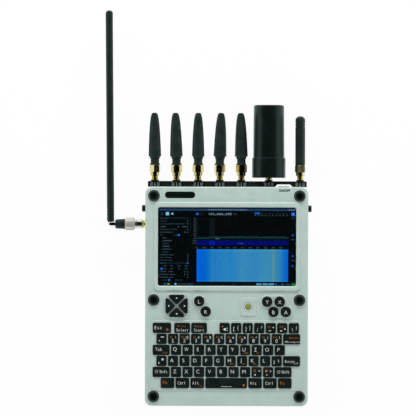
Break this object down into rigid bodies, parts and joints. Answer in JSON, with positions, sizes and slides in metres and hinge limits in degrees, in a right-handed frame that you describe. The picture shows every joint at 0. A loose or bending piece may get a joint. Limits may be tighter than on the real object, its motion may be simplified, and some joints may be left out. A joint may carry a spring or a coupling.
{
  "type": "handheld radio spectrum analyser",
  "caption": "Handheld radio spectrum analyser: flat metal case with screen, key pad, direction pad, trackball, antennas on a top rail and a tilting telescopic whip.",
  "frame": {"origin": "centre of the case's flat back face, which it lies on", "axes": "+Z out of the screen, +Y from the keyboard to the top antennas, +X to the right as the screen is read"},
  "size_m": [0.1674, 0.3198, 0.0296],
  "materials": {
    "case_paint": "satin",
    "screw_black": "satin black oxide",
    "screen": "dark display",
    "cover_glass": "clear glass",
    "board": "solder resist",
    "silicone": "matt silicone",
    "inner_plastic": "matt",
    "cell_wrap": "shrink wrap",
    "rail_black": "satin black",
    "gold": "gold plated",
    "bright_metal": "polished",
    "grip_metal": "knurled nickel",
    "key_black": "matt",
    "ball_olive": "smooth",
    "antenna_black": "matt elastomer",
    "whip_black": "black chrome",
    "tube_metal": "polished"
  },
  "bodies": {
    "console": {"front_housing": "case_paint", "rear_housing": "case_paint", "face_screws": "screw_black", "side_screws": "screw_black", "display_panel": "screen", "cover_glass": "cover_glass", "keyboard_board": "board", "key_mat": "silicone", "main_board": "board", "compute_module": "board", "radio_board": "board", "battery_holder": "inner_plastic", "battery_cells": "cell_wrap", "speakers": "inner_plastic", "antenna_rail": "rail_black", "rail_nuts": "rail_black", "rail_jacks": "gold", "antenna_nuts": "gold", "trackball_ring": "case_paint", "side_jack": "gold", "side_adapter": "bright_metal", "whip_nut": "grip_metal"},
    "command_keys": {"command_keys": "key_black"},
    "symbol_keys": {"symbol_keys": "key_black"},
    "digit_keys": {"digit_keys": "key_black"},
    "upper_letter_keys": {"upper_letter_keys": "key_black"},
    "home_letter_keys": {"home_letter_keys": "key_black"},
    "lower_letter_keys": {"lower_letter_keys": "key_black"},
    "left_wide_keys": {"left_wide_keys": "key_black"},
    "right_wide_keys": {"right_wide_keys": "key_black"},
    "modifier_keys": {"modifier_keys": "key_black"},
    "space_key": {"space_key": "key_black"},
    "dpad_up": {"dpad_up": "key_black"},
    "dpad_down": {"dpad_down": "key_black"},
    "dpad_left": {"dpad_left": "key_black"},
    "dpad_right": {"dpad_right": "key_black"},
    "button_l": {"button_l": "key_black"},
    "button_r": {"button_r": "key_black"},
    "button_y": {"button_y": "key_black"},
    "button_x": {"button_x": "key_black"},
    "button_b": {"button_b": "key_black"},
    "button_a": {"button_a": "key_black"},
    "power_button": {"power_button": "bright_metal"},
    "trackball_carrier": {"trackball_carrier": "inner_plastic"},
    "trackball": {"trackball": "ball_olive"},
    "paddle_antenna_1": {"paddle_antenna_1": "antenna_black"},
    "paddle_antenna_2": {"paddle_antenna_2": "antenna_black"},
    "paddle_antenna_3": {"paddle_antenna_3": "antenna_black"},
    "paddle_antenna_4": {"paddle_antenna_4": "antenna_black"},
    "paddle_antenna_5": {"paddle_antenna_5": "antenna_black"},
    "can_antenna": {"can_antenna": "antenna_black"},
    "stub_antenna": {"stub_antenna": "antenna_black"},
    "whip_swivel": {"whip_collar": "antenna_black", "whip_fork": "bright_metal", "whip_pin": "bright_metal"},
    "whip_mast": {"whip_tang": "bright_metal", "whip_outer_tube": "whip_black"},
    "whip_middle_tube": {"whip_middle_tube": "tube_metal"},
    "whip_inner_tube": {"whip_inner_tube": "tube_metal"},
    "whip_tip": {"whip_tip": "whip_black"}
  },
  "joints": [
    {"name": "command_keys_press", "type": "slide", "parent": "console", "child": "command_keys", "axis": [0, 0, -1], "range_m": [0, 0.001], "stiffness_N_per_m": 400, "springref_m": -0.0005},
    {"name": "symbol_keys_press", "type": "slide", "parent": "console", "child": "symbol_keys", "axis": [0, 0, -1], "range_m": [0, 0.001], "stiffness_N_per_m": 400, "springref_m": -0.0005},
    {"name": "digit_keys_press", "type": "slide", "parent": "console", "child": "digit_keys", "axis": [0, 0, -1], "range_m": [0, 0.001], "stiffness_N_per_m": 400, "springref_m": -0.0005},
    {"name": "upper_letter_keys_press", "type": "slide", "parent": "console", "child": "upper_letter_keys", "axis": [0, 0, -1], "range_m": [0, 0.001], "stiffness_N_per_m": 400, "springref_m": -0.0005},
    {"name": "home_letter_keys_press", "type": "slide", "parent": "console", "child": "home_letter_keys", "axis": [0, 0, -1], "range_m": [0, 0.001], "stiffness_N_per_m": 400, "springref_m": -0.0005},
    {"name": "lower_letter_keys_press", "type": "slide", "parent": "console", "child": "lower_letter_keys", "axis": [0, 0, -1], "range_m": [0, 0.001], "stiffness_N_per_m": 400, "springref_m": -0.0005},
    {"name": "left_wide_keys_press", "type": "slide", "parent": "console", "child": "left_wide_keys", "axis": [0, 0, -1], "range_m": [0, 0.001], "stiffness_N_per_m": 400, "springref_m": -0.0005},
    {"name": "right_wide_keys_press", "type": "slide", "parent": "console", "child": "right_wide_keys", "axis": [0, 0, -1], "range_m": [0, 0.001], "stiffness_N_per_m": 400, "springref_m": -0.0005},
    {"name": "modifier_keys_press", "type": "slide", "parent": "console", "child": "modifier_keys", "axis": [0, 0, -1], "range_m": [0, 0.001], "stiffness_N_per_m": 400, "springref_m": -0.0005},
    {"name": "space_key_press", "type": "slide", "parent": "console", "child": "space_key", "axis": [0, 0, -1], "range_m": [0, 0.001], "stiffness_N_per_m": 400, "springref_m": -0.0005},
    {"name": "dpad_up_press", "type": "slide", "parent": "console", "child": "dpad_up", "axis": [0, 0, -1], "range_m": [0, 0.0008], "stiffness_N_per_m": 400, "springref_m": -0.0005},
    {"name": "dpad_down_press", "type": "slide", "parent": "console", "child": "dpad_down", "axis": [0, 0, -1], "range_m": [0, 0.0008], "stiffness_N_per_m": 400, "springref_m": -0.0005},
    {"name": "dpad_left_press", "type": "slide", "parent": "console", "child": "dpad_left", "axis": [0, 0, -1], "range_m": [0, 0.0008], "stiffness_N_per_m": 400, "springref_m": -0.0005},
    {"name": "dpad_right_press", "type": "slide", "parent": "console", "child": "dpad_right", "axis": [0, 0, -1], "range_m": [0, 0.0008], "stiffness_N_per_m": 400, "springref_m": -0.0005},
    {"name": "button_l_press", "type": "slide", "parent": "console", "child": "button_l", "axis": [0, 0, -1], "range_m": [0, 0.0008], "stiffness_N_per_m": 400, "springref_m": -0.0005},
    {"name": "button_r_press", "type": "slide", "parent": "console", "child": "button_r", "axis": [0, 0, -1], "range_m": [0, 0.0008], "stiffness_N_per_m": 400, "springref_m": -0.0005},
    {"name": "button_y_press", "type": "slide", "parent": "console", "child": "button_y", "axis": [0, 0, -1], "range_m": [0, 0.0008], "stiffness_N_per_m": 400, "springref_m": -0.0005},
    {"name": "button_x_press", "type": "slide", "parent": "console", "child": "button_x", "axis": [0, 0, -1], "range_m": [0, 0.0008], "stiffness_N_per_m": 400, "springref_m": -0.0005},
    {"name": "button_b_press", "type": "slide", "parent": "console", "child": "button_b", "axis": [0, 0, -1], "range_m": [0, 0.0008], "stiffness_N_per_m": 400, "springref_m": -0.0005},
    {"name": "button_a_press", "type": "slide", "parent": "console", "child": "button_a", "axis": [0, 0, -1], "range_m": [0, 0.0008], "stiffness_N_per_m": 400, "springref_m": -0.0005},
    {"name": "power_press", "type": "slide", "parent": "console", "child": "power_button", "axis": [0, -1, 0], "range_m": [0, 0.0004], "stiffness_N_per_m": 600, "springref_m": -0.0004},
    {"name": "trackball_click", "type": "slide", "parent": "console", "child": "trackball_carrier", "axis": [0, 0, -1], "range_m": [0, 0.0004], "stiffness_N_per_m": 800, "springref_m": -0.0004},
    {"name": "trackball_roll", "type": "hinge", "parent": "trackball_carrier", "child": "trackball", "pos_m": [0.0175, -0.00835, 0.02552], "axis": [1, 0, 0], "continuous": true},
    {"name": "paddle_antenna_1_turn", "type": "hinge", "parent": "console", "child": "paddle_antenna_1", "pos_m": [-0.0583, 0.108, 0.0155], "axis": [0, 1, 0], "continuous": true},
    {"name": "paddle_antenna_2_turn", "type": "hinge", "parent": "console", "child": "paddle_antenna_2", "pos_m": [-0.0408, 0.108, 0.0155], "axis": [0, 1, 0], "continuous": true},
    {"name": "paddle_antenna_3_turn", "type": "hinge", "parent": "console", "child": "paddle_antenna_3", "pos_m": [-0.0233, 0.108, 0.0155], "axis": [0, 1, 0], "continuous": true},
    {"name": "paddle_antenna_4_turn", "type": "hinge", "parent": "console", "child": "paddle_antenna_4", "pos_m": [-0.0058, 0.108, 0.0155], "axis": [0, 1, 0], "continuous": true},
    {"name": "paddle_antenna_5_turn", "type": "hinge", "parent": "console", "child": "paddle_antenna_5", "pos_m": [0.0117, 0.108, 0.0155], "axis": [0, 1, 0], "continuous": true},
    {"name": "can_antenna_turn", "type": "hinge", "parent": "console", "child": "can_antenna", "pos_m": [0.0339, 0.108, 0.0155], "axis": [0, 1, 0], "continuous": true},
    {"name": "stub_antenna_turn", "type": "hinge", "parent": "console", "child": "stub_antenna", "pos_m": [0.0593, 0.108, 0.0155], "axis": [0, 1, 0], "continuous": true},
    {"name": "whip_turn", "type": "hinge", "parent": "console", "child": "whip_swivel", "pos_m": [-0.082, 0.0583, 0.0155], "axis": [-1, 0, 0], "continuous": true},
    {"name": "whip_tilt", "type": "hinge", "parent": "whip_swivel", "child": "whip_mast", "pos_m": [-0.094, 0.0583, 0.0155], "axis": [0, 0, 1], "range_deg": [0, 180]},
    {"name": "whip_middle_tube_slide", "type": "slide", "parent": "whip_mast", "child": "whip_middle_tube", "axis": [-0.0099, 1, 0], "range_m": [0, 0.14]},
    {"name": "whip_inner_tube_slide", "type": "slide", "parent": "whip_middle_tube", "child": "whip_inner_tube", "axis": [-0.0099, 1, 0], "range_m": [0, 0.14]},
    {"name": "whip_tip_slide", "type": "slide", "parent": "whip_inner_tube", "child": "whip_tip", "axis": [-0.0099, 1, 0], "range_m": [0, 0.14]}
  ]
}
